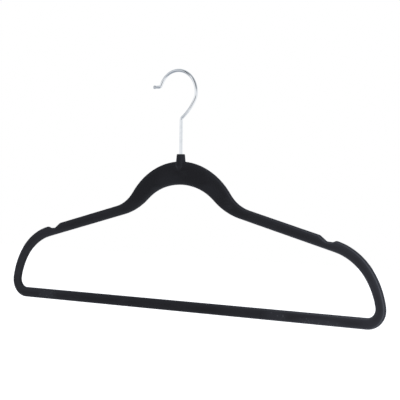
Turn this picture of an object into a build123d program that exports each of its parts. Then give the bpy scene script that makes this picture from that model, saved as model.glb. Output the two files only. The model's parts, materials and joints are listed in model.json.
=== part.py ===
"""Slim velvet-covered suit hanger: a chrome wire hook that swivels in a moulded frame with a trouser bar.

Units are millimetres. X runs along the width, Y through the thickness, Z up.
The origin lies on the swivel axis, where it meets the underside of the hook's arc (the rail seat).
Heights named *_Z are given above the crown of the yoke, and every piece is lowered by SEAT_Z to the origin.
"""
from build123d import *

import math
import os

# ---- overall size -----------------------------------------------------------------------------
FLOCK = 0.4                   # thickness of the velvet pile and its adhesive
THICKNESS = 5.4               # through the frame, velvet included
EDGE_ROUND = 2.1              # rounding of the long edges, velvet included

# ---- outer outline of the frame (right half, heights above the crown of the yoke) ---------------
CROWN_R = 68.0                # top of the yoke
CROWN_ANGLE = 20.5            # degrees from vertical where the crown passes into the yoke's flank
FLANK_R = 74.0
OUTER_BLEND_R = 38.0          # hollow between yoke and shoulder
SHOULDER_SLOPE = 14.85        # degrees below horizontal
OUTER_LINE_Z = -25.5          # where the shoulder's top line would meet the swivel axis
END_X = 175.89                # start of the rounded shoulder end; makes the hanger 450 wide
END_R = 64.0                  # shoulder end, upper part
END_ANGLE = 57.8              # degrees below horizontal where the end flattens
END_LOW_R = 79.0
CORNER_R = 18.3               # outer bottom corner
BAR_BOTTOM_Z = -150.6

# ---- inner outline (the opening) ----------------------------------------------------------------
ARCH_Z = -22.95
ARCH_R = 66.5
ARCH_ANGLE = 14.4
ARCH_FLANK_R = 56.5
INNER_BLEND_R = 68.7
INNER_LINE_Z = -36.1
INNER_END_X = 173.8
INNER_END_R = 54.6
INNER_END_ANGLE = 58.2
INNER_END_LOW_R = 69.0
INNER_CORNER_R = 8.9
BAR_TOP_Z = -140.4

# ---- strap notches --------------------------------------------------------------------------------
NOTCH = [                     # corners: x, depth below the shoulder's line, corner radius
    (157.7, 0.0, 2.2),
    (165.0, 3.7, 4.5),
    (171.5, 2.4, 3.2),
    (175.1, 0.0, 2.2),
]

# ---- neck -----------------------------------------------------------------------------------------
NECK_TOP_Z = 7.4
NECK_TOP_R = 3.95
NECK_BASE_R = 5.0
BOSS_LOW_Z = -3.9             # below this the boss tapers into the flat faces
BOSS_END_Z = -10.5
BOSS_END_R = 2.2

# ---- hook -----------------------------------------------------------------------------------------
WIRE_R = 1.7
BOW_R = 22.2                  # centreline of the bow that goes over the rail
BOW_X = -4.4                  # centre of the bow
BOW_Z = 69.35
BOW_END = 7.5                 # degrees below the bow's centre, where it passes into the heel
HEEL_R = 10.0                 # tighter bend at the foot of the bow
HEEL_SLOPE = 64.5             # degrees below horizontal, where the heel passes into the leg
LEG_SLOPE = 38.0              # degrees below horizontal, where the leg meets the knee
KNEE_R = 3.8                  # bend from the leg into the upright shank
TIP_Z = 75.6                  # height of the straight run to the ball
TIP_BEND_R = 2.6
TIP_X = -33.1                 # centre of the ball
BALL_R = 1.95

# ---- swivel fittings inside the neck --------------------------------------------------------------
RUNNING = 0.06                # radial clearance of the wire in its bush
END_FLOAT = 0.1               # gap between the wire's head and the washer
BUSH_R = 2.5
BUSH_FLANGE_R = 3.05
BUSH_FLANGE_TOP_Z = 0.4
BUSH_BOTTOM_Z = -0.2
WASHER_R = 2.6
WASHER_BORE_R = 1.9
WASHER_THICK = 0.6
HEAD_R = 2.35
HEAD_THICK = 1.5
CUP_BORE_R = 2.7
CUP_FLOOR_GAP = 0.4
CUP_WALL = 0.35

# ---- modelling -----------------------------------------------------------------------------------
CUT_OVERRUN = 1.0             # how far a cutting solid reaches past the faces that it cuts
TOLERANCE = 0.01              # how closely an edge has to lie on a face's plane to be rounded with it

# ---- derived heights ------------------------------------------------------------------------------
SEAT_Z = BOW_Z + math.sqrt((BOW_R - WIRE_R) ** 2 - BOW_X ** 2)
WASHER_BOTTOM_Z = BUSH_BOTTOM_Z - WASHER_THICK
HEAD_TOP_Z = WASHER_BOTTOM_Z - END_FLOAT
HEAD_BOTTOM_Z = HEAD_TOP_Z - HEAD_THICK
CUP_FLOOR_Z = HEAD_BOTTOM_Z - CUP_FLOOR_GAP
CUP_BOTTOM_Z = CUP_FLOOR_Z - CUP_WALL


def polar(centre, radius, angle):
    """The point (x, z) at a distance and an angle in degrees from a centre."""
    turn = math.radians(angle)
    return (centre[0] + radius * math.cos(turn), centre[1] + radius * math.sin(turn))


def arc(centre, radius, start, end):
    """An arc about a centre (x, z) between two angles in degrees, in the sketch's plane."""
    return ThreePointArc(*(polar(centre, radius, angle) for angle in (start, (start + end) / 2, end)))


def line_height(line_z, x):
    """Height of a shoulder line at x."""
    return line_z - math.tan(math.radians(SHOULDER_SLOPE)) * x


def crown(apex_z, top_r, angle, flank_r, blend_r, line_z):
    """Yoke curve from the swivel axis to the shoulder line: two convex arcs and one hollow one."""
    slope = math.radians(SHOULDER_SLOPE)
    top_centre = (0.0, apex_z - top_r)
    flank_centre = polar(top_centre, top_r - flank_r, 90 - angle)
    normal = (math.sin(slope), math.cos(slope))
    along = (math.cos(slope), -math.sin(slope))
    base = (blend_r * normal[0] - flank_centre[0], line_z + blend_r * normal[1] - flank_centre[1])
    shift = base[0] * along[0] + base[1] * along[1]
    reach = base[0] ** 2 + base[1] ** 2 - (flank_r + blend_r) ** 2
    travel = -shift + math.sqrt(shift ** 2 - reach)
    hollow = (flank_centre[0] + base[0] + travel * along[0], flank_centre[1] + base[1] + travel * along[1])
    turn = math.degrees(math.atan2(hollow[1] - flank_centre[1], hollow[0] - flank_centre[0]))
    return [
        arc(top_centre, top_r, 90, 90 - angle),
        arc(flank_centre, flank_r, 90 - angle, turn),
        arc(hollow, blend_r, 180 + turn, 270 - SHOULDER_SLOPE),
    ]


def shoulder_end(line_z, start_x, upper_r, angle, lower_r, corner_r, bottom_z):
    """Shoulder end from its line, round to the bar: two long arcs and the bottom corner."""
    start = (start_x, line_height(line_z, start_x))
    upper = polar(start, upper_r, 270 - SHOULDER_SLOPE)
    lower = polar(upper, upper_r - lower_r, 90 - angle)
    corner_z = bottom_z + corner_r
    inset = lower_r - corner_r
    corner_x = lower[0] + math.sqrt(inset ** 2 - (corner_z - lower[1]) ** 2)
    turn = math.degrees(math.atan2(corner_z - lower[1], corner_x - lower[0]))
    return [
        arc(upper, upper_r, 90 - SHOULDER_SLOPE, 90 - angle),
        arc(lower, lower_r, 90 - angle, turn),
        arc((corner_x, corner_z), corner_r, turn, -90),
    ]


def notched_shoulder(start, finish):
    """Top edge of the shoulder with its strap notch: steep inside, flat bottom, small lip outside."""
    corners = [(x, line_height(OUTER_LINE_Z, x) - depth) for x, depth, _ in NOTCH]
    return FilletPolyline(start, *corners, finish, radius=[radius for _, _, radius in NOTCH])


def closed_face(half):
    """A face from the right half of an outline, mirrored about the swivel axis."""
    right = Curve() + half
    left = mirror(right, Plane.YZ)
    return make_face(right.edges() + left.edges())


def outer_face():
    """Outer outline of the frame, with the strap notches cut into the shoulders."""
    yoke = crown(0.0, CROWN_R, CROWN_ANGLE, FLANK_R, OUTER_BLEND_R, OUTER_LINE_Z)
    end = shoulder_end(OUTER_LINE_Z, END_X, END_R, END_ANGLE, END_LOW_R, CORNER_R, BAR_BOTTOM_Z)
    shoulder = notched_shoulder(yoke[-1] @ 1, end[0] @ 0)
    return closed_face(yoke + [shoulder] + end + [Line(end[-1] @ 1, (0.0, BAR_BOTTOM_Z))])


def opening_face():
    """Outline of the opening inside the frame."""
    arch = crown(ARCH_Z, ARCH_R, ARCH_ANGLE, ARCH_FLANK_R, INNER_BLEND_R, INNER_LINE_Z)
    end = shoulder_end(INNER_LINE_Z, INNER_END_X, INNER_END_R, INNER_END_ANGLE, INNER_END_LOW_R,
                       INNER_CORNER_R, BAR_TOP_Z)
    half = arch + [Line(arch[-1] @ 1, end[0] @ 0)] + end + [Line(end[-1] @ 1, (0.0, BAR_TOP_Z))]
    return closed_face(half)


def stand(face):
    """Stand a sketch up in the XZ plane, at its height above the origin."""
    return Plane.XZ * (Pos(0, -SEAT_Z) * face)


def plate(inset):
    """The flat frame, `inset` inside the velvet's surface, with rounded long edges."""
    outer = outer_face()
    hole = opening_face()
    if inset:
        outer = offset(outer, -inset)
        hole = offset(hole, inset)
    thick = THICKNESS - 2 * inset
    body = extrude(stand(outer), thick / 2, both=True) - extrude(stand(hole), thick, both=True)
    rims = [edge for edge in body.edges() if abs(abs(edge.center().Y) - thick / 2) < TOLERANCE]
    return fillet(rims, EDGE_ROUND - inset)


def turned(profile):
    """A solid of revolution about the swivel axis, from (radius, height) points."""
    points = [(r, z - SEAT_Z) for r, z in profile]
    return revolve(Plane.XZ * make_face(Polyline(*points, close=True)), Axis.Z)


def disc(radius, low, high, bore=0.0):
    """A round disc or ring about the swivel axis."""
    return turned([(bore, low), (radius, low), (radius, high), (bore, high)])


def turret(inset):
    """The round neck above the yoke, with the boss that tapers into the faces below it."""
    top = NECK_TOP_Z - inset
    return turned([
        (0, BOSS_END_Z), (BOSS_END_R - inset, BOSS_END_Z), (NECK_BASE_R - inset, BOSS_LOW_Z),
        (NECK_TOP_R - inset, top), (0, top),
    ])


def neck_bore():
    """Everything that the swivel fittings fill inside the neck."""
    sleeve = disc(BUSH_R, BUSH_FLANGE_TOP_Z - CUT_OVERRUN, NECK_TOP_Z + CUT_OVERRUN)
    pocket = disc(BUSH_FLANGE_R, CUP_BOTTOM_Z, BUSH_FLANGE_TOP_Z)
    return sleeve + pocket


def frame_core():
    """The one-piece moulding: neck, yoke, shoulders, notches and trouser bar."""
    return plate(FLOCK) + turret(FLOCK) - neck_bore()


def flock_coat():
    """The velvet skin all over the moulding, open where the bush comes out of the neck."""
    solid = plate(0.0) + turret(0.0)
    inner = plate(FLOCK) + turret(FLOCK)
    return solid - inner - disc(BUSH_R, BUSH_FLANGE_TOP_Z, NECK_TOP_Z + CUT_OVERRUN)


def swivel_bush():
    """Sleeve that the wire turns in, with a foot that locks it into the moulding."""
    bore = WIRE_R + RUNNING
    return turned([
        (bore, BUSH_BOTTOM_Z), (BUSH_FLANGE_R, BUSH_BOTTOM_Z), (BUSH_FLANGE_R, BUSH_FLANGE_TOP_Z),
        (BUSH_R, BUSH_FLANGE_TOP_Z), (BUSH_R, NECK_TOP_Z), (bore, NECK_TOP_Z),
    ])


def thrust_washer():
    """Washer under the bush that carries the load from the wire's head."""
    return disc(WASHER_R, WASHER_BOTTOM_Z, BUSH_BOTTOM_Z, WASHER_BORE_R)


def head_cup():
    """Thin cup that keeps the moulding off the wire's head."""
    return turned([
        (0, CUP_BOTTOM_Z), (BUSH_FLANGE_R, CUP_BOTTOM_Z), (BUSH_FLANGE_R, BUSH_BOTTOM_Z),
        (CUP_BORE_R, BUSH_BOTTOM_Z), (CUP_BORE_R, CUP_FLOOR_Z), (0, CUP_FLOOR_Z),
    ])


def hook_line():
    """Centreline of the wire from the upright shank to the tip's bend: knee, leg, heel, bow and tip bend."""
    bow_centre = (BOW_X, BOW_Z)
    heel_turn = HEEL_SLOPE - 90
    leg_turn = LEG_SLOPE - 90
    heel_centre = polar(bow_centre, BOW_R - HEEL_R, -BOW_END)
    heel_end = polar(heel_centre, HEEL_R, heel_turn)
    knee_reach = KNEE_R * (1 - math.sin(math.radians(LEG_SLOPE)))
    leg_sweep = math.sin(math.radians(HEEL_SLOPE)) - math.sin(math.radians(LEG_SLOPE))
    leg_r = (heel_end[0] - knee_reach) / leg_sweep
    leg_centre = polar(heel_end, -leg_r, heel_turn)
    leg_end = polar(leg_centre, leg_r, leg_turn)
    knee_centre = polar(leg_end, -KNEE_R, 90 + LEG_SLOPE)
    tip_rise = TIP_Z + TIP_BEND_R - BOW_Z
    tip_centre = (BOW_X - math.sqrt((BOW_R + TIP_BEND_R) ** 2 - tip_rise ** 2), BOW_Z + tip_rise)
    tip_turn = math.degrees(math.atan2(tip_rise, tip_centre[0] - BOW_X))
    return [
        arc(knee_centre, KNEE_R, 180, 90 + LEG_SLOPE),
        arc(leg_centre, leg_r, leg_turn, heel_turn),
        arc(heel_centre, HEEL_R, heel_turn, -BOW_END),
        arc(bow_centre, BOW_R, -BOW_END, tip_turn),
        arc(tip_centre, TIP_BEND_R, tip_turn - 180, -90),
    ]


def hook_wire():
    """Bent wire with an upset head in the neck and a ball at the tip."""
    line = hook_line()
    shank = Line((0, HEAD_TOP_Z), line[0] @ 0)
    run = Line(line[-1] @ 1, (TIP_X, TIP_Z))
    path = Curve() + [shank] + line + [run]
    spine = Plane.XZ * (Pos(0, -SEAT_Z) * Wire(path.edges()))
    section = Plane(spine @ 0, z_dir=spine % 0) * Circle(WIRE_R)
    wire = sweep(section, path=spine)
    ball = Pos(TIP_X, 0, TIP_Z - SEAT_Z) * Sphere(BALL_R)
    return wire + ball + disc(HEAD_R, HEAD_BOTTOM_Z, HEAD_TOP_Z)


PIECES = {
    "hook_wire": hook_wire,
    "swivel_bush": swivel_bush,
    "thrust_washer": thrust_washer,
    "head_cup": head_cup,
    "frame_core": frame_core,
    "flock_coat": flock_coat,
}


def main():
    """Build every piece and write it to its own file."""
    os.makedirs("parts", exist_ok=True)
    for name, make in PIECES.items():
        shape = make()
        export_step(shape, f"parts/{name}.step")
        box = shape.bounding_box()
        print(name, "solids", len(shape.solids()), "volume %.1f" % shape.volume,
              "z %.2f to %.2f" % (box.min.Z, box.max.Z))


main()
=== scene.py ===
"""Looks of a slim velvet suit hanger: velvet frame, swivel fittings and chrome hook, in a white studio."""

import json
import logging
import math
from dataclasses import dataclass, field
from enum import Enum
from typing import Callable, Iterable, Sequence

import bmesh
import bpy
from mathutils import Matrix, Vector, noise
from mathutils.kdtree import KDTree

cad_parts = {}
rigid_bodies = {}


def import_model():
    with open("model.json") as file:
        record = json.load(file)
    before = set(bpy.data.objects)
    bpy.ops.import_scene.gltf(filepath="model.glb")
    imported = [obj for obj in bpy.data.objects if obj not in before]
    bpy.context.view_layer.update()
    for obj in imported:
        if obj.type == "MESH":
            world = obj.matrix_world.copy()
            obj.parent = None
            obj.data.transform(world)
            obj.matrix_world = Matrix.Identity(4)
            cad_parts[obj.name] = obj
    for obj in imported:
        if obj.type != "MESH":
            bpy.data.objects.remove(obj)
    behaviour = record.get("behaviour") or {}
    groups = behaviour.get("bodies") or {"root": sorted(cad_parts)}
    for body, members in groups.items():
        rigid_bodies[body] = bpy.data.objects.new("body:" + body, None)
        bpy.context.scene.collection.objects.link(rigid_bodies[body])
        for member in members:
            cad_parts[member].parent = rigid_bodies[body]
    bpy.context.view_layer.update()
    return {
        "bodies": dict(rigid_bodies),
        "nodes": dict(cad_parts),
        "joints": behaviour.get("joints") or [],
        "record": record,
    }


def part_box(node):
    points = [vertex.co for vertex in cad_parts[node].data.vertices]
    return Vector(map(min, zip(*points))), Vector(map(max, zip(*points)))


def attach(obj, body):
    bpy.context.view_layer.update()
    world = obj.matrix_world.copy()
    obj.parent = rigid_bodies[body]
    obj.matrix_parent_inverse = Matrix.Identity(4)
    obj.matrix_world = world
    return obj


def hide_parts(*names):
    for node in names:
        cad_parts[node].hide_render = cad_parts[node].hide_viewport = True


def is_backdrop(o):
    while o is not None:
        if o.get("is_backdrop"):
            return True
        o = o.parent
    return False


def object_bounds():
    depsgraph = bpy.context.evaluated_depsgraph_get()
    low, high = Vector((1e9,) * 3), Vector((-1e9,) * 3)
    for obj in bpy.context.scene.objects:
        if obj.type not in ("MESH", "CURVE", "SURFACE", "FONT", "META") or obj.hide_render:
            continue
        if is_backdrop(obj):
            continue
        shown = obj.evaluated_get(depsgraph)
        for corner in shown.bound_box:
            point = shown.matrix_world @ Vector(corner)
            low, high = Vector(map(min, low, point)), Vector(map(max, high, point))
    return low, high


log = logging.getLogger("hanger")

MM = 0.001
RIM = "rim"                       # mesh attribute that tells the velvet how near a side wall is
NECK_HEIGHT = 7.4 * MM            # from the crown of the yoke to the top of the neck

Colour = tuple[float, float, float, float]
Profile = list[tuple[float, float]]

WHITE: Colour = (1.0, 1.0, 1.0, 1.0)


class Body(Enum):
    """Rigid bodies that the pieces ride on."""

    HOOK = "hook"
    FRAME = "frame"


class Slot(Enum):
    """Material slots of the record."""

    CHROME = "chrome_wire"
    BUSH = "bush_acetal"
    ZINC = "zinc_steel"
    MOULDING = "moulded_abs"
    VELVET = "velvet"


# ---- node helpers ---------------------------------------------------------------------------------


def add_node(tree: bpy.types.NodeTree, kind: str, **values: object) -> bpy.types.Node:
    """Add a node and set its plain properties.

    Args:
        tree: Node tree that takes the node.
        kind: Blender's type name of the node.
        **values: Properties of the node, by name.

    Returns:
        The new node.
    """
    node = tree.nodes.new(kind)
    for name, value in values.items():
        setattr(node, name, value)
    return node


def set_inputs(node: bpy.types.Node, **values: object) -> bpy.types.Node:
    """Set unlinked input sockets by name, with underscores for spaces.

    Args:
        node: Node whose sockets are set.
        **values: Socket values by name.

    Returns:
        The same node.
    """
    for name, value in values.items():
        node.inputs[name.replace("_", " ")].default_value = value
    return node


def smooth_ramp(tree: bpy.types.NodeTree, value: bpy.types.NodeSocket,
                **limits: float) -> bpy.types.NodeSocket:
    """Ease a value from one range to another.

    Args:
        tree: Node tree that takes the node.
        value: Socket that gives the value.
        **limits: From_Min, From_Max, To_Min and To_Max, as far as they aren't 0 and 1.

    Returns:
        The eased value's socket.
    """
    node = set_inputs(add_node(tree, "ShaderNodeMapRange", interpolation_type="SMOOTHSTEP"), **limits)
    tree.links.new(value, node.inputs["Value"])
    return node.outputs["Result"]


def reckon(tree: bpy.types.NodeTree, operation: str, first: bpy.types.NodeSocket,
           second: bpy.types.NodeSocket | float = 0.0) -> bpy.types.NodeSocket:
    """Work out one step of arithmetic.

    Args:
        tree: Node tree that takes the node.
        operation: Blender's name of the step.
        first: Socket that gives the first number.
        second: The second number, or the socket that gives it.

    Returns:
        The result's socket.
    """
    node = add_node(tree, "ShaderNodeMath", operation=operation)
    tree.links.new(first, node.inputs[0])
    if isinstance(second, bpy.types.NodeSocket):
        tree.links.new(second, node.inputs[1])
    else:
        node.inputs[1].default_value = second
    return node.outputs[0]


def new_group(name: str, inputs: dict[str, float], outputs: Iterable[str]) -> bpy.types.NodeTree:
    """Make an empty shader node group with float sockets.

    Args:
        name: Name of the group.
        inputs: Default of each named input.
        outputs: Names of the outputs.

    Returns:
        The group, holding only its input and output nodes.
    """
    group = bpy.data.node_groups.new(name, "ShaderNodeTree")
    for label, value in inputs.items():
        socket = group.interface.new_socket(name=label, in_out="INPUT", socket_type="NodeSocketFloat")
        socket.default_value = value
    for label in outputs:
        group.interface.new_socket(name=label, in_out="OUTPUT", socket_type="NodeSocketFloat")
    group.nodes.new("NodeGroupInput")
    group.nodes.new("NodeGroupOutput")
    return group


def group_ends(group: bpy.types.NodeTree) -> tuple[bpy.types.Node, bpy.types.Node]:
    """Return the input and output nodes of a group."""
    return group.nodes["Group Input"], group.nodes["Group Output"]


@dataclass
class SharedEffects:
    """Surface effects that several finishes use, each one a node group."""

    blotches: bpy.types.NodeTree = field(init=False)
    grain: bpy.types.NodeTree = field(init=False)

    def __post_init__(self) -> None:
        """Build the groups once."""
        self.blotches = self._blotches()
        self.grain = self._grain()

    @staticmethod
    def _blotches() -> bpy.types.NodeTree:
        """Soft irregular patches, which may be drawn out along the width.

        Returns:
            A group with Scale, Stretch, Low and High inputs and a Mask output.
        """
        group = new_group("Blotches", {"Scale": 30.0, "Stretch": 1.0, "Low": 0.45, "High": 0.7}, ["Mask"])
        start, end = group_ends(group)
        place = add_node(group, "ShaderNodeTexCoord")
        split = add_node(group, "ShaderNodeSeparateXYZ")
        shrink = add_node(group, "ShaderNodeMath", operation="DIVIDE")
        join = add_node(group, "ShaderNodeCombineXYZ")
        cloud = set_inputs(add_node(group, "ShaderNodeTexNoise"), Detail=3.0, Roughness=0.55)
        spread = add_node(group, "ShaderNodeMapRange", interpolation_type="SMOOTHSTEP")
        link = group.links.new
        link(place.outputs["Object"], split.inputs[0])
        link(split.outputs["X"], shrink.inputs[0])
        link(start.outputs["Stretch"], shrink.inputs[1])
        link(shrink.outputs[0], join.inputs["X"])
        link(split.outputs["Y"], join.inputs["Y"])
        link(split.outputs["Z"], join.inputs["Z"])
        link(join.outputs[0], cloud.inputs["Vector"])
        link(start.outputs["Scale"], cloud.inputs["Scale"])
        link(cloud.outputs["Fac"], spread.inputs["Value"])
        link(start.outputs["Low"], spread.inputs["From Min"])
        link(start.outputs["High"], spread.inputs["From Max"])
        link(spread.outputs["Result"], end.inputs["Mask"])
        return group

    @staticmethod
    def _grain() -> bpy.types.NodeTree:
        """Fine even grain for pile, moulded skin or brushed metal.

        Returns:
            A group with Scale and Sharpness inputs and a Height output.
        """
        group = new_group("Grain", {"Scale": 1500.0, "Sharpness": 0.6}, ["Height"])
        start, end = group_ends(group)
        place = add_node(group, "ShaderNodeTexCoord")
        fine = set_inputs(add_node(group, "ShaderNodeTexNoise"), Detail=2.0)
        link = group.links.new
        link(place.outputs["Object"], fine.inputs["Vector"])
        link(start.outputs["Scale"], fine.inputs["Scale"])
        link(start.outputs["Sharpness"], fine.inputs["Roughness"])
        link(fine.outputs["Fac"], end.inputs["Height"])
        return group

    def place(self, tree: bpy.types.NodeTree, group: bpy.types.NodeTree, **values: float) -> bpy.types.Node:
        """Place one of the groups in a material.

        Args:
            tree: The material's node tree.
            group: The group to place.
            **values: Values of its inputs, by name.

        Returns:
            The group node.
        """
        node = add_node(tree, "ShaderNodeGroup", node_tree=group)
        return set_inputs(node, **values)


# ---- finishes -------------------------------------------------------------------------------------


def blank_material(name: str) -> tuple[bpy.types.Material, bpy.types.NodeTree, bpy.types.Node]:
    """Make a material with only its Principled shader.

    Args:
        name: Name of the material.

    Returns:
        The material, its node tree and the shader node.
    """
    material = bpy.data.materials.new(name)
    material.use_nodes = True
    return material, material.node_tree, material.node_tree.nodes["Principled BSDF"]


def mix_colours(tree: bpy.types.NodeTree, mask: bpy.types.NodeSocket, low: Colour | bpy.types.NodeSocket,
                high: Colour | bpy.types.NodeSocket) -> bpy.types.NodeSocket:
    """Mix two colours by a mask.

    Args:
        tree: Tree that takes the node.
        mask: Socket that gives the share of the second colour.
        low: First colour, or the socket that gives it.
        high: Second colour, or the socket that gives it.

    Returns:
        The mixed colour's socket.
    """
    mix = add_node(tree, "ShaderNodeMix", data_type="RGBA")
    tree.links.new(mask, mix.inputs["Factor"])
    for colour, place in ((low, mix.inputs[6]), (high, mix.inputs[7])):
        if isinstance(colour, bpy.types.NodeSocket):
            tree.links.new(colour, place)
        else:
            place.default_value = colour
    return mix.outputs[2]


def add_bump(tree: bpy.types.NodeTree, shader: bpy.types.Node, height: bpy.types.NodeSocket, strength: float,
             depth: float) -> None:
    """Feed a height into the shader's normal.

    Args:
        tree: The material's node tree.
        shader: The Principled shader.
        height: Socket that gives the height.
        strength: Strength of the bump, 0 to 1.
        depth: Height of the bump in metres.
    """
    bump = set_inputs(add_node(tree, "ShaderNodeBump"), Strength=strength, Distance=depth)
    tree.links.new(height, bump.inputs["Height"])
    tree.links.new(bump.outputs["Normal"], shader.inputs["Normal"])


@dataclass(frozen=True)
class StrokedPatch:
    """Soft-edged place where the pile lies the other way, in millimetres in the shared frame."""

    along: float
    height: float
    reach_along: float
    reach_up: float


STROKED_PATCHES: tuple[StrokedPatch, ...] = (
    StrokedPatch(-174.0, -235.0, 17.0, 9.0),
    StrokedPatch(113.0, -235.0, 18.0, 9.0),
    StrokedPatch(158.0, -238.0, 34.0, 6.0),
)


@dataclass(frozen=True)
class VelvetFinish:
    """Short black nylon pile: dull, with a cool bloom at glancing angles and patches stroked lighter; its
    colour also holds painted light, lighter near the side walls and a painted highlight along the rounded
    edges that grows towards the right end.
    """

    effects: SharedEffects
    deep: Colour = (0.0078, 0.0077, 0.0091, 1.0)
    lifted: Colour = (0.0098, 0.0099, 0.0118, 1.0)
    brushed: Colour = (0.0122, 0.0125, 0.0147, 1.0)
    # painted light: the velvet's colour near the side walls, as a slightly crowned face lit from above and
    # below would look
    rim: Colour = (0.0115, 0.0118, 0.0141, 1.0)
    stroked: Colour = (0.0122, 0.0126, 0.0150, 1.0)
    lint: Colour = (0.0310, 0.0320, 0.0350, 1.0)
    # painted highlight on the rounded edges, standing in for light from the right
    edge_highlight: Colour = (0.0255, 0.0265, 0.0310, 1.0)
    rounding_slope: float = 0.76
    rounding_spread: float = 0.24
    right_light_from: float = -60.0 * MM
    right_light_to: float = 170.0 * MM
    least_right_light: float = 0.1
    rim_light_share: float = 0.9
    patch_core: float = 0.3
    lint_per_metre: float = 380.0
    fleck_edge: float = 0.26
    fleck_core: float = 0.12

    def material(self) -> bpy.types.Material:
        """Build the velvet material.

        Returns:
            The material.
        """
        material, tree, shader = blank_material("velvet_pile")
        effects = self.effects
        lay = effects.place(tree, effects.blotches, Scale=38.0, Stretch=2.0, Low=0.42, High=0.66)
        rubbed = effects.place(tree, effects.blotches, Scale=70.0, Stretch=3.0, Low=0.62, High=0.78)
        pile = effects.place(tree, effects.grain, Scale=1900.0, Sharpness=0.7)
        base = mix_colours(tree, lay.outputs["Mask"], self.deep, self.lifted)
        base = mix_colours(tree, rubbed.outputs["Mask"], base, self.brushed)
        # Painted light: lighter velvet near the side walls, standing in for light on a slightly crowned face
        base = mix_colours(tree, self._painted_rim_light(tree), base, self.rim)
        patches = self._over_patches(tree)
        base = mix_colours(tree, patches, base, self.stroked)
        base = mix_colours(tree, reckon(tree, "MULTIPLY", patches, self._flecks(tree)), base, self.lint)
        # Painted highlight along the rounded long edges, stronger towards the right end where light from the
        # right falls
        edges = reckon(tree, "MULTIPLY", self._on_rounding(tree), self._light_from_right(tree))
        tree.links.new(mix_colours(tree, edges, base, self.edge_highlight), shader.inputs["Base Color"])
        add_bump(tree, shader, pile.outputs["Height"], 0.55, 0.25 * MM)
        set_inputs(shader, Roughness=0.95, Specular_IOR_Level=0.12, Sheen_Weight=0.08, Sheen_Roughness=0.35,
                   Sheen_Tint=(0.78, 0.84, 1.0, 1.0))
        return material

    def _over_patches(self, tree: bpy.types.NodeTree) -> bpy.types.NodeSocket:
        """Mask over every stroked patch.

        Args:
            tree: The material's node tree.

        Returns:
            The mask's socket.
        """
        place = add_node(tree, "ShaderNodeTexCoord")
        masks = []
        for patch in STROKED_PATCHES:
            offset = add_node(tree, "ShaderNodeVectorMath", operation="SUBTRACT")
            offset.inputs[1].default_value = (patch.along * MM, 0.0, patch.height * MM)
            scaled = add_node(tree, "ShaderNodeVectorMath", operation="MULTIPLY")
            scaled.inputs[1].default_value = (1 / (patch.reach_along * MM), 0.0, 1 / (patch.reach_up * MM))
            size = add_node(tree, "ShaderNodeVectorMath", operation="LENGTH")
            tree.links.new(place.outputs["Object"], offset.inputs[0])
            tree.links.new(offset.outputs[0], scaled.inputs[0])
            tree.links.new(scaled.outputs[0], size.inputs[0])
            masks.append(smooth_ramp(tree, size.outputs["Value"], From_Min=1.0, From_Max=self.patch_core))
        highest = masks[0]
        for mask in masks[1:]:
            highest = reckon(tree, "MAXIMUM", highest, mask)
        return highest

    def _flecks(self, tree: bpy.types.NodeTree) -> bpy.types.NodeSocket:
        """Mask of small scattered lint flecks.

        Args:
            tree: The material's node tree.

        Returns:
            The mask's socket.
        """
        place = add_node(tree, "ShaderNodeTexCoord")
        cells = set_inputs(add_node(tree, "ShaderNodeTexVoronoi"), Scale=self.lint_per_metre)
        tree.links.new(place.outputs["Object"], cells.inputs["Vector"])
        return smooth_ramp(tree, cells.outputs["Distance"], From_Min=self.fleck_edge,
                           From_Max=self.fleck_core)

    def _light_from_right(self, tree: bpy.types.NodeTree) -> bpy.types.NodeSocket:
        """Painted-highlight mask that rises along the width towards the right end, standing in for light from
        the right.

        Args:
            tree: The material's node tree.

        Returns:
            The mask's socket.
        """
        place = add_node(tree, "ShaderNodeTexCoord")
        split = add_node(tree, "ShaderNodeSeparateXYZ")
        tree.links.new(place.outputs["Object"], split.inputs[0])
        return smooth_ramp(tree, split.outputs["X"], From_Min=self.right_light_from, From_Max=self.right_light_to,
                           To_Min=self.least_right_light)

    def _painted_rim_light(self, tree: bpy.types.NodeTree) -> bpy.types.NodeSocket:
        """Painted-light mask that rises over the last few millimetres before the side walls, standing in for
        light on a slightly crowned face.

        Args:
            tree: The material's node tree.

        Returns:
            The mask's socket.
        """
        near = add_node(tree, "ShaderNodeAttribute", attribute_name=RIM)
        return smooth_ramp(tree, near.outputs["Fac"], To_Max=self.rim_light_share)

    def _on_rounding(self, tree: bpy.types.NodeTree) -> bpy.types.NodeSocket:
        """Mask along the rounded long edges, where the surface turns from face to side wall.

        Args:
            tree: The material's node tree.

        Returns:
            The mask's socket.
        """
        place = add_node(tree, "ShaderNodeTexCoord")
        split = add_node(tree, "ShaderNodeSeparateXYZ")
        tree.links.new(place.outputs["Normal"], split.inputs[0])
        facing = reckon(tree, "ABSOLUTE", split.outputs["Y"])
        away = reckon(tree, "ABSOLUTE", reckon(tree, "SUBTRACT", facing, self.rounding_slope))
        return smooth_ramp(tree, away, From_Min=self.rounding_spread, From_Max=0.0)


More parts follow.
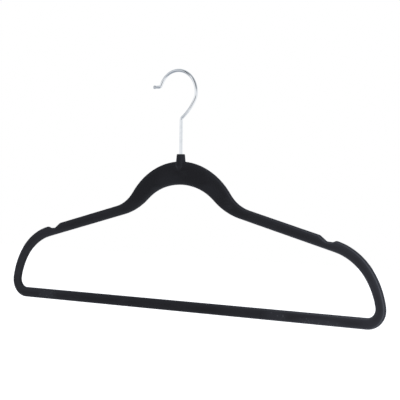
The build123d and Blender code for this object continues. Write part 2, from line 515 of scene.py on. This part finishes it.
@dataclass(frozen=True)
class ChromeFinish:
    """Bright chrome plate on drawn wire, with faint die lines and handling haze."""

    effects: SharedEffects
    plate: Colour = (0.83, 0.85, 0.875, 1.0)
    haze: Colour = (0.76, 0.785, 0.815, 1.0)

    def material(self) -> bpy.types.Material:
        """Build the chrome material.

        Returns:
            The material.
        """
        material, tree, shader = blank_material("chrome_plate")
        effects = self.effects
        touched = effects.place(tree, effects.blotches, Scale=260.0, Stretch=1.0, Low=0.5, High=0.72)
        lines = effects.place(tree, effects.grain, Scale=2600.0, Sharpness=0.5)
        tone = mix_colours(tree, touched.outputs["Mask"], self.plate, self.haze)
        tree.links.new(tone, shader.inputs["Base Color"])
        gloss = set_inputs(add_node(tree, "ShaderNodeMapRange"), To_Min=0.012, To_Max=0.035)
        tree.links.new(touched.outputs["Mask"], gloss.inputs["Value"])
        tree.links.new(gloss.outputs["Result"], shader.inputs["Roughness"])
        add_bump(tree, shader, lines.outputs["Height"], 0.02, 0.02 * MM)
        set_inputs(shader, Metallic=1.0)
        return material


@dataclass(frozen=True)
class MetalFinish:
    """Zinc-plated steel of the hidden swivel parts."""

    effects: SharedEffects
    bright: Colour = (0.62, 0.61, 0.57, 1.0)
    dull: Colour = (0.45, 0.45, 0.43, 1.0)

    def material(self) -> bpy.types.Material:
        """Build the zinc material.

        Returns:
            The material.
        """
        material, tree, shader = blank_material("zinc_plate")
        effects = self.effects
        spangle = effects.place(tree, effects.blotches, Scale=900.0, Stretch=1.0, Low=0.4, High=0.65)
        rolled = effects.place(tree, effects.grain, Scale=3500.0, Sharpness=0.5)
        tone = mix_colours(tree, spangle.outputs["Mask"], self.bright, self.dull)
        tree.links.new(tone, shader.inputs["Base Color"])
        add_bump(tree, shader, rolled.outputs["Height"], 0.15, 0.05 * MM)
        set_inputs(shader, Metallic=1.0, Roughness=0.38)
        return material


@dataclass(frozen=True)
class PlasticFinish:
    """Black moulded plastic, with a fine moulded grain and faint flow marks."""

    effects: SharedEffects
    name: str
    base: Colour
    flow: Colour
    roughness: float
    grain_scale: float

    def material(self) -> bpy.types.Material:
        """Build the plastic material.

        Returns:
            The material.
        """
        material, tree, shader = blank_material(self.name)
        effects = self.effects
        marks = effects.place(tree, effects.blotches, Scale=120.0, Stretch=4.0, Low=0.45, High=0.75)
        skin = effects.place(tree, effects.grain, Scale=self.grain_scale, Sharpness=0.5)
        tone = mix_colours(tree, marks.outputs["Mask"], self.base, self.flow)
        tree.links.new(tone, shader.inputs["Base Color"])
        add_bump(tree, shader, skin.outputs["Height"], 0.25, 0.05 * MM)
        set_inputs(shader, Roughness=self.roughness)
        return material


# ---- mesh helpers ---------------------------------------------------------------------------------


def link_piece(name: str, mesh: bpy.types.Mesh, material: bpy.types.Material) -> bpy.types.Object:
    """Put a mesh in the scene as a smooth-shaded piece.

    Args:
        name: Name of the piece.
        mesh: Its mesh.
        material: Its only material.

    Returns:
        The new object.
    """
    mesh.materials.clear()
    mesh.materials.append(material)
    mesh.shade_smooth()
    piece = bpy.data.objects.new(name, mesh)
    bpy.context.scene.collection.objects.link(piece)
    return piece


def ring_mesh(name: str, rings: Sequence[Sequence[Vector]], close_start: bool = True,
              close_end: bool = True) -> bpy.types.Mesh:
    """Join rings of points into a tube of quads.

    Args:
        name: Name of the mesh.
        rings: Rings with the same number of points each.
        close_start: Whether the first ring is closed with a cap.
        close_end: Whether the last ring is closed with a cap.

    Returns:
        The mesh, with its faces turned outwards.
    """
    bm = bmesh.new()
    loops = [[bm.verts.new(point) for point in ring] for ring in rings]
    for low, high in zip(loops, loops[1:]):
        for i, vert in enumerate(low):
            j = (i + 1) % len(low)
            bm.faces.new((vert, low[j], high[j], high[i]))
    for wanted, loop in ((close_start, loops[0]), (close_end, loops[-1])):
        if wanted:
            bm.faces.new(loop)
    bmesh.ops.recalc_face_normals(bm, faces=bm.faces)
    mesh = bpy.data.meshes.new(name)
    bm.to_mesh(mesh)
    bm.free()
    return mesh


def turned_rings(profile: Profile, count: int) -> list[list[Vector]]:
    """Rings of a shape turned about the swivel axis.

    Args:
        profile: Radius and height pairs, in metres.
        count: Points in each ring.

    Returns:
        The rings.
    """
    rings = []
    for radius, height in profile:
        angles = (2 * math.pi * i / count for i in range(count))
        rings.append([Vector((radius * math.cos(a), radius * math.sin(a), height)) for a in angles])
    return rings


def weld(mesh: bpy.types.Mesh) -> None:
    """Join points that lie in the same place and turn the faces outwards.

    Args:
        mesh: The mesh, changed in place.
    """
    bm = bmesh.new()
    bm.from_mesh(mesh)
    bmesh.ops.remove_doubles(bm, verts=bm.verts, dist=1e-7)
    bmesh.ops.recalc_face_normals(bm, faces=bm.faces)
    bm.to_mesh(mesh)
    bm.free()


def dress(node: bpy.types.Object, material: bpy.types.Material) -> None:
    """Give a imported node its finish.

    Args:
        node: The node's object.
        material: The material for all its faces.
    """
    if not node.material_slots:
        node.data.materials.append(material)
    for entry in node.material_slots:
        entry.material = material


def polar(centre: Vector, radius: float, angle: float) -> Vector:
    """The point at a distance and an angle from a centre, in the XZ plane.

    Args:
        centre: The centre.
        radius: The distance, which may be negative for the opposite side.
        angle: The angle in degrees, from +X towards +Z.

    Returns:
        The point.
    """
    turn = math.radians(angle)
    return centre + radius * Vector((math.cos(turn), 0.0, math.sin(turn)))


def applied(piece: bpy.types.Object) -> bpy.types.Mesh:
    """Mesh of a piece with all its modifiers applied."""
    bpy.context.view_layer.update()
    graph = bpy.context.evaluated_depsgraph_get()
    return bpy.data.meshes.new_from_object(piece.evaluated_get(graph))


# ---- the hanger's sub-assemblies ------------------------------------------------------------------


@dataclass
class VelvetFrame:
    """The velvet-covered frame: yoke, shoulders, notches, trouser bar and neck in one skin."""

    finish: VelvetFinish
    moulding: PlasticFinish
    bush_radius: float = 2.5 * MM
    mouth_slack: float = 0.05 * MM
    mouth_depth: float = 1.0 * MM
    bore_depth: float = 2.2 * MM
    voxel: float = 0.60 * MM
    softening: int = 4
    pile_stand: float = 0.25 * MM
    nap_height: float = 0.035 * MM
    nap_scale: float = 420.0
    wall_slope: float = 0.35
    rim_width: float = 5.0 * MM
    boss_reach: float = 6.5 * MM

    def _outer_skin(self, node: bpy.types.Object) -> bpy.types.Mesh:
        """Outer surface of the skin, closed, with a short bore where the bush comes out.

        Args:
            node: The frame's own skin.

        Returns:
            The closed mesh.
        """
        bm = bmesh.new()
        bm.from_mesh(node.data)
        bmesh.ops.remove_doubles(bm, verts=bm.verts, dist=1e-6)
        reach = self.bush_radius + self.mouth_slack
        lowest = max(v.co.z for v in bm.verts) - self.mouth_depth
        mouth = {v for v in bm.verts if v.co.z > lowest and math.hypot(v.co.x, v.co.y) < reach}
        wall = [f for f in bm.faces if all(v in mouth for v in f.verts)]
        bmesh.ops.delete(bm, geom=wall, context="FACES")
        outer = self._connected(max(bm.verts, key=lambda v: v.co.x))
        bmesh.ops.delete(bm, geom=[v for v in bm.verts if v not in outer], context="VERTS")
        rim = [e for e in bm.edges if e.is_boundary]
        walls = bmesh.ops.extrude_edge_only(bm, edges=rim)["geom"]
        low = [v for v in walls if isinstance(v, bmesh.types.BMVert)]
        bmesh.ops.translate(bm, verts=low, vec=(0.0, 0.0, -self.bore_depth))
        bmesh.ops.holes_fill(bm, edges=[e for e in bm.edges if e.is_boundary])
        bmesh.ops.recalc_face_normals(bm, faces=bm.faces)
        mesh = bpy.data.meshes.new("velvet_base")
        bm.to_mesh(mesh)
        bm.free()
        return mesh

    @staticmethod
    def _connected(start: bmesh.types.BMVert) -> set[bmesh.types.BMVert]:
        """All points joined to a first one by edges.

        Args:
            start: The first point.

        Returns:
            The points, the first included.
        """
        found = {start}
        fresh = [start]
        while fresh:
            vert = fresh.pop()
            for edge in vert.link_edges:
                other = edge.other_vert(vert)
                if other not in found:
                    found.add(other)
                    fresh.append(other)
        return found

    def _raise_nap(self, mesh: bpy.types.Mesh) -> None:
        """Make the pile's surface very slightly uneven.

        Args:
            mesh: The skin, changed in place.
        """
        normals = [vert.normal.copy() for vert in mesh.vertices]
        for vert, normal in zip(mesh.vertices, normals):
            lift = self.pile_stand + self.nap_height * noise.noise(vert.co * self.nap_scale)
            vert.co += normal * lift

    def _mark_rims(self, mesh: bpy.types.Mesh) -> None:
        """Store how near each point lies to a side wall, which the finish reads to paint light near the
        walls.

        The boss that tapers into the faces below the neck doesn't count as a wall.

        Args:
            mesh: The skin, changed in place.
        """
        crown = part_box("flock_coat")[1].z - NECK_HEIGHT
        walls = [v.co for v in mesh.vertices if abs(v.normal.y) < self.wall_slope
                 and (v.co.z > crown or math.hypot(v.co.x, v.co.y) > self.boss_reach)]
        tree = KDTree(len(walls))
        for i, point in enumerate(walls):
            tree.insert((point.x, 0.0, point.z), i)
        tree.balance()
        rim = mesh.attributes.new(RIM, "FLOAT", "POINT")
        for vert, entry in zip(mesh.vertices, rim.data):
            distance = tree.find((vert.co.x, 0.0, vert.co.z))[2]
            entry.value = max(0.0, 1.0 - distance / self.rim_width)

    def build(self, nodes: dict[str, bpy.types.Object]) -> bpy.types.Object:
        """Build and dress the frame's skin.

        Args:
            nodes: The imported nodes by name.

        Returns:
            The velvet skin.
        """
        velvet = self.finish.material()
        draft = link_piece("velvet_draft", self._outer_skin(nodes["flock_coat"]), velvet)
        remesh = draft.modifiers.new("even", "REMESH")
        remesh.mode = "VOXEL"
        remesh.voxel_size = self.voxel
        remesh.use_smooth_shade = True
        soften = draft.modifiers.new("soften", "SMOOTH")
        soften.factor = 0.5
        soften.iterations = self.softening
        mesh = applied(draft)
        bpy.data.objects.remove(draft)
        self._raise_nap(mesh)
        self._mark_rims(mesh)
        skin = link_piece("velvet_skin", mesh, velvet)
        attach(skin, Body.FRAME.value)
        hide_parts("flock_coat")
        dress(nodes["frame_core"], self.moulding.material())
        return skin


@dataclass
class SwivelFittings:
    """Bush, washer and cup that hold the wire's head in the neck."""

    bush_finish: PlasticFinish
    metal_finish: MetalFinish
    wire_radius: float = 1.7 * MM
    running_gap: float = 0.06 * MM
    sleeve_radius: float = 2.5 * MM
    foot_radius: float = 3.05 * MM
    foot_height: float = 0.6 * MM
    lip_round: float = 0.3 * MM
    lip_steps: int = 6
    segments: int = 72

    def _bush_profile(self, low: float, high: float) -> Profile:
        """Closed profile of the bush, with rounded lips at its visible end.

        Args:
            low: Height of the foot.
            high: Height of the top.

        Returns:
            Radius and height pairs, up the outside and down the bore.
        """
        bore = self.wire_radius + self.running_gap
        profile = [(bore, low), (self.foot_radius, low), (self.foot_radius, low + self.foot_height),
                   (self.sleeve_radius, low + self.foot_height)]
        for centre, first in ((self.sleeve_radius - self.lip_round, 0.0), (bore + self.lip_round, 90.0)):
            for i in range(self.lip_steps + 1):
                turn = math.radians(first + 90.0 * i / self.lip_steps)
                profile.append((centre + self.lip_round * math.cos(turn),
                                high - self.lip_round + self.lip_round * math.sin(turn)))
        return profile + [(bore, low)]

    def build(self, nodes: dict[str, bpy.types.Object]) -> bpy.types.Object:
        """Build the bush and dress the washer and cup.

        Args:
            nodes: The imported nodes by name.

        Returns:
            The bush.
        """
        low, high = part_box("swivel_bush")
        rings = turned_rings(self._bush_profile(low.z, high.z), self.segments)
        mesh = ring_mesh("bush", rings, close_start=False, close_end=False)
        weld(mesh)
        bush = link_piece("bush", mesh, self.bush_finish.material())
        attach(bush, Body.FRAME.value)
        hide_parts("swivel_bush")
        zinc = self.metal_finish.material()
        for name in ("thrust_washer", "head_cup"):
            dress(nodes[name], zinc)
        return bush


@dataclass
class WireHook:
    """The bent wire: head, shank, knee, leg, heel, bow, tip bend and ball, in one smooth tube."""

    finish: ChromeFinish
    wire_radius: float = 1.7 * MM
    bow_radius: float = 22.2 * MM
    bow_x: float = -4.4 * MM
    bow_end: float = 7.5
    heel_radius: float = 10.0 * MM
    heel_slope: float = 64.5
    leg_slope: float = 38.0
    knee_radius: float = 3.8 * MM
    tip_rise: float = 6.25 * MM
    tip_bend_radius: float = 2.6 * MM
    tip_x: float = -33.1 * MM
    ball_radius: float = 1.95 * MM
    waist_radius: float = 1.5 * MM
    waist_to_ball: float = 2.0 * MM
    head_radius: float = 2.35 * MM
    head_height: float = 1.5 * MM
    head_edge: float = 0.2 * MM
    spacing: float = 0.45 * MM
    shank_rings: int = 24
    waist_rings: int = 8
    ball_rings: int = 32
    segments: int = 40

    def _arc(self, centre: Vector, radius: float, start: float, end: float) -> list[tuple[Vector, Vector]]:
        """Points and directions along an arc in the XZ plane.

        Args:
            centre: Centre of the arc.
            radius: Its radius.
            start: First angle in degrees.
            end: Last angle in degrees.

        Returns:
            Pairs of point and direction.
        """
        count = max(4, math.ceil(abs(math.radians(end - start)) * radius / self.spacing))
        way = 90.0 if end > start else -90.0
        angles = (start + (end - start) * i / count for i in range(count + 1))
        return [(polar(centre, radius, angle), polar(Vector(), 1.0, angle + way)) for angle in angles]

    def _centreline(self) -> list[tuple[Vector, Vector]]:
        """Centreline from the top of the shank to the straight run of the tip.

        Returns:
            Pairs of point and direction.
        """
        seat = math.sqrt((self.bow_radius - self.wire_radius) ** 2 - self.bow_x ** 2)
        bow_centre = Vector((self.bow_x, 0.0, -seat))
        heel_turn = self.heel_slope - 90.0
        leg_turn = self.leg_slope - 90.0
        heel_centre = polar(bow_centre, self.bow_radius - self.heel_radius, -self.bow_end)
        heel_foot = polar(heel_centre, self.heel_radius, heel_turn)
        knee_reach = self.knee_radius * (1.0 - math.sin(math.radians(self.leg_slope)))
        leg_sweep = math.sin(math.radians(self.heel_slope)) - math.sin(math.radians(self.leg_slope))
        leg_radius = (heel_foot.x - knee_reach) / leg_sweep
        leg_centre = polar(heel_foot, -leg_radius, heel_turn)
        knee_centre = polar(polar(leg_centre, leg_radius, leg_turn), -self.knee_radius, 90.0 + self.leg_slope)
        rise = self.tip_rise + self.tip_bend_radius
        reach = self.bow_radius + self.tip_bend_radius
        tip_centre = bow_centre + Vector((-math.sqrt(reach ** 2 - rise ** 2), 0.0, rise))
        meet = math.degrees(math.atan2(rise, tip_centre.x - bow_centre.x))
        path = self._arc(knee_centre, self.knee_radius, 180.0, 90.0 + self.leg_slope)
        path += self._arc(leg_centre, leg_radius, leg_turn, heel_turn)[1:]
        path += self._arc(heel_centre, self.heel_radius, heel_turn, -self.bow_end)[1:]
        path += self._arc(bow_centre, self.bow_radius, -self.bow_end, meet)[1:]
        return path + self._arc(tip_centre, self.tip_bend_radius, meet - 180.0, -90.0)[1:]

    def _tip_radii(self, run: float) -> list[tuple[float, float]]:
        """Distances along the tip's straight run and the wire's radius there.

        Args:
            run: Length of the straight run, up to the ball's centre.

        Returns:
            Pairs of distance and radius, ending near the ball's pole.
        """
        pairs = []
        waist_at = run - self.waist_to_ball
        for i in range(1, self.waist_rings + 1):
            share = i / self.waist_rings
            ease = share * share * (3 - 2 * share)
            pairs.append((waist_at * share, self.wire_radius + (self.waist_radius - self.wire_radius) * ease))
        first = math.degrees(math.asin(self.waist_radius / self.ball_radius))
        for i in range(1, self.ball_rings):
            turn = math.radians((180.0 - first) * (1 - i / self.ball_rings))
            pairs.append((run + self.ball_radius * math.cos(turn), self.ball_radius * math.sin(turn)))
        return pairs

    def _section(self, point: Vector, direction: Vector, radius: float) -> list[Vector]:
        """Ring of points about the wire's centreline.

        Args:
            point: Centre of the ring.
            direction: Direction of the wire there.
            radius: Radius of the ring.

        Returns:
            The ring's points.
        """
        across = Vector((0.0, 1.0, 0.0))
        side = direction.cross(across)
        angles = (2 * math.pi * i / self.segments for i in range(self.segments))
        return [point + radius * (math.cos(a) * across + math.sin(a) * side) for a in angles]

    def build(self) -> bpy.types.Object:
        """Build and dress the hook.

        Returns:
            The hook.
        """
        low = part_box("hook_wire")[0].z
        up = Vector((0.0, 0.0, 1.0))
        head_top = low + self.head_height
        line = self._centreline()
        shank_length = line[0][0].z - head_top
        upright = [
            (self.head_radius - self.head_edge, low), (self.head_radius, low + self.head_edge),
            (self.head_radius, head_top - self.head_edge), (self.head_radius - self.head_edge, head_top),
        ]
        upright += [(self.wire_radius, head_top + shank_length * i / self.shank_rings)
                    for i in range(self.shank_rings)]
        rings = [self._section(Vector((0.0, 0.0, height)), up, radius) for radius, height in upright]
        rings += [self._section(point, way, self.wire_radius) for point, way in line]
        last, direction = line[-1]
        for distance, radius in self._tip_radii(last.x - self.tip_x):
            rings.append(self._section(last + direction * distance, direction, radius))
        hook = link_piece("hook_bent_wire", ring_mesh("hook_bent_wire", rings), self.finish.material())
        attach(hook, Body.HOOK.value)
        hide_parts("hook_wire")
        return hook


# ---- studio ---------------------------------------------------------------------------------------


@dataclass(frozen=True)
class SkyCard:
    """A soft card far off in the sky, which the chrome mirrors.

    Its bearing is in degrees, clockwise from straight away from the camera, and its height in degrees
    above level. Its edge runs from spread less softness to spread plus softness, in degrees.
    """

    bearing: float
    height: float
    tone: Colour
    spread: float
    softness: float


SKY_CARDS = (
    SkyCard(-63.0, 74.0, (0.66, 0.69, 0.73, 1.0), 43.5, 4.0),
    SkyCard(149.0, 48.0, (0.33, 0.355, 0.38, 1.0), 41.0, 14.0),
    SkyCard(-103.0, 36.0, (0.0, 0.0, 0.0, 1.0), 27.0, 1.7),
    SkyCard(-99.0, 31.5, (0.75, 0.78, 0.82, 1.0), 18.2, 3.3),
    SkyCard(-96.0, -49.0, (0.36, 0.39, 0.44, 1.0), 42.0, 15.5),
    SkyCard(-172.0, -20.0, (0.06, 0.065, 0.075, 1.0), 15.5, 8.0),
    SkyCard(-169.0, 26.5, (0.10, 0.11, 0.12, 1.0), 16.0, 1.8),
)


@dataclass(frozen=True)
class Lamp:
    """A soft square light, placed and aimed in shares of the hanger's half width and in metres."""

    name: str
    side: float
    front: float
    height: float
    size: float
    power: float


LAMPS = (
    Lamp("front_right_lamp", 1.35, 0.18, -0.19, 0.14, 1.05),
    Lamp("front_left_lamp", -1.35, 0.18, -0.17, 0.14, 0.66),
    Lamp("back_right_lamp", 1.9, -0.30, -0.10, 0.30, 3.6),
    Lamp("back_left_lamp", -1.9, -0.30, -0.10, 0.30, 3.6),
)


@dataclass
class Studio:
    """White studio: pale floor, soft lights, a white sky with darker bands for the chrome, and the camera."""

    floor_drop: float = 0.62
    floor_size: float = 14.0
    floor_tone: Colour = (0.9, 0.9, 0.9, 1.0)
    floor_glow: float = 0.5
    sky_tone: Colour = (0.96, 0.97, 0.98, 1.0)
    dome_low: Colour = (0.56, 0.57, 0.60, 1.0)
    dome_high: Colour = (0.95, 0.97, 1.0, 1.0)
    lamp_colour: tuple[float, float, float] = (0.97, 1.0, 1.04)
    lens: float = 99.9
    sensor: float = 36.0
    azimuth: float = 33.75
    tilt: float = 1.6
    roll: float = 0.624
    crown_depth: float = 1.1148
    crown_right: float = -0.01929
    crown_up: float = 0.03848

    def _camera(self) -> None:
        """Place the camera by where it sees the top of the yoke."""
        turn = math.radians(self.azimuth)
        tip = math.radians(self.tilt)
        lean = math.radians(self.roll)
        forward = Vector((-math.sin(turn) * math.cos(tip), math.cos(turn) * math.cos(tip), -math.sin(tip)))
        level = Vector((math.cos(turn), math.sin(turn), 0.0))
        upright = level.cross(forward)
        right = math.cos(lean) * level + math.sin(lean) * upright
        up = math.cos(lean) * upright - math.sin(lean) * level
        crown = Vector((0.0, 0.0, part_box("flock_coat")[1].z - NECK_HEIGHT))
        place = crown - forward * self.crown_depth - right * self.crown_right - up * self.crown_up
        data = bpy.data.cameras.new("camera")
        data.lens = self.lens
        data.sensor_width = self.sensor
        camera = bpy.data.objects.new("camera", data)
        frame = Matrix((right, up, -forward)).transposed()
        camera.matrix_world = Matrix.Translation(place) @ frame.to_4x4()
        bpy.context.scene.collection.objects.link(camera)
        bpy.context.scene.camera = camera

    def _floor(self) -> None:
        """Lay a pale floor below the hanging hanger."""
        half = self.floor_size / 2
        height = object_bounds()[0][2] - self.floor_drop
        corners = [Vector((x * half, y * half, height)) for x, y in ((-1, -1), (1, -1), (1, 1), (-1, 1))]
        mesh = bpy.data.meshes.new("floor")
        mesh.from_pydata(corners, [], [(0, 1, 2, 3)])
        material, tree, shader = blank_material("floor_paint")
        set_inputs(shader, Base_Color=self.floor_tone, Roughness=0.9, Emission_Color=WHITE,
                   Emission_Strength=self.floor_glow)
        floor = link_piece("floor", mesh, material)
        floor.visible_glossy = False
        floor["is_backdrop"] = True

    def _lamps(self) -> None:
        """Hang the soft lights that lift the velvet towards the ends of the shoulders."""
        half_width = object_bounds()[1][0]
        for lamp in LAMPS:
            place = Vector((lamp.side * half_width, -lamp.front, lamp.height))
            aim = Vector((math.copysign(half_width, lamp.side), 0.0, lamp.height))
            data = bpy.data.lights.new(lamp.name, "AREA")
            data.size = lamp.size
            data.energy = lamp.power
            data.color = self.lamp_colour
            light = bpy.data.objects.new(lamp.name, data)
            turn = (aim - place).to_track_quat("-Z", "Y")
            light.matrix_world = Matrix.Translation(place) @ turn.to_matrix().to_4x4()
            light.visible_camera = False
            light.visible_glossy = False
            bpy.context.scene.collection.objects.link(light)

    def _sky(self) -> None:
        """Surround the hanger with a white sky, which shows the chrome some darker cards."""
        world = bpy.data.worlds.new("sky")
        world.use_nodes = True
        tree = world.node_tree
        turn = math.radians(self.azimuth)
        right = Vector((math.cos(turn), math.sin(turn), 0.0))
        away = Vector((-math.sin(turn), math.cos(turn), 0.0))
        look = add_node(tree, "ShaderNodeTexCoord").outputs["Generated"]
        colour: Colour | bpy.types.NodeSocket = self.sky_tone
        for card in SKY_CARDS:
            bearing = math.radians(card.bearing)
            height = math.radians(card.height)
            level = math.sin(bearing) * right + math.cos(bearing) * away
            aim = math.cos(height) * level + Vector((0.0, 0.0, math.sin(height)))
            dot = add_node(tree, "ShaderNodeVectorMath", operation="DOT_PRODUCT")
            tree.links.new(look, dot.inputs[0])
            dot.inputs[1].default_value = aim
            edge = smooth_ramp(tree, dot.outputs["Value"],
                               From_Min=math.cos(math.radians(card.spread + card.softness)),
                               From_Max=math.cos(math.radians(card.spread - card.softness)))
            colour = mix_colours(tree, edge, colour, card.tone)
        rays = add_node(tree, "ShaderNodeLightPath").outputs
        height = add_node(tree, "ShaderNodeSeparateXYZ")
        tree.links.new(look, height.inputs[0])
        climb = set_inputs(add_node(tree, "ShaderNodeMapRange"), From_Min=-0.2, From_Max=1.0)
        tree.links.new(height.outputs["Z"], climb.inputs["Value"])
        dome = mix_colours(tree, climb.outputs["Result"], self.dome_low, self.dome_high)
        lit = mix_colours(tree, rays["Is Glossy Ray"], dome, colour)
        backdrop = mix_colours(tree, rays["Is Camera Ray"], lit, WHITE)
        tree.links.new(backdrop, tree.nodes["Background"].inputs["Color"])
        bpy.context.scene.world = world

    def build(self) -> None:
        """Build the whole studio."""
        self._sky()
        self._floor()
        self._lamps()
        self._camera()
        bpy.context.scene.view_settings.view_transform = "Standard"


def main() -> None:
    """Load the frame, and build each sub-assembly and the studio."""
    logging.basicConfig(level=logging.INFO, format="%(name)s: %(message)s")
    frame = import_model()
    effects = SharedEffects()
    moulding = PlasticFinish(effects, "moulded_abs", base=(0.018, 0.018, 0.02, 1.0),
                             flow=(0.026, 0.026, 0.028, 1.0), roughness=0.45, grain_scale=1400.0)
    acetal = PlasticFinish(effects, "bush_acetal", base=(0.028, 0.028, 0.03, 1.0),
                           flow=(0.04, 0.04, 0.042, 1.0), roughness=0.32, grain_scale=2200.0)
    builders: dict[str, Callable[[], bpy.types.Object]] = {
        "velvet frame": lambda: VelvetFrame(VelvetFinish(effects), moulding).build(frame["nodes"]),
        "swivel fittings": lambda: SwivelFittings(acetal, MetalFinish(effects)).build(frame["nodes"]),
        "wire hook": lambda: WireHook(ChromeFinish(effects)).build(),
    }
    for label, build in builders.items():
        piece = build()
        log.info("%s: %s, %d faces", label, piece.name, len(piece.data.polygons))
    Studio().build()


if __name__ == "__main__":
    main()
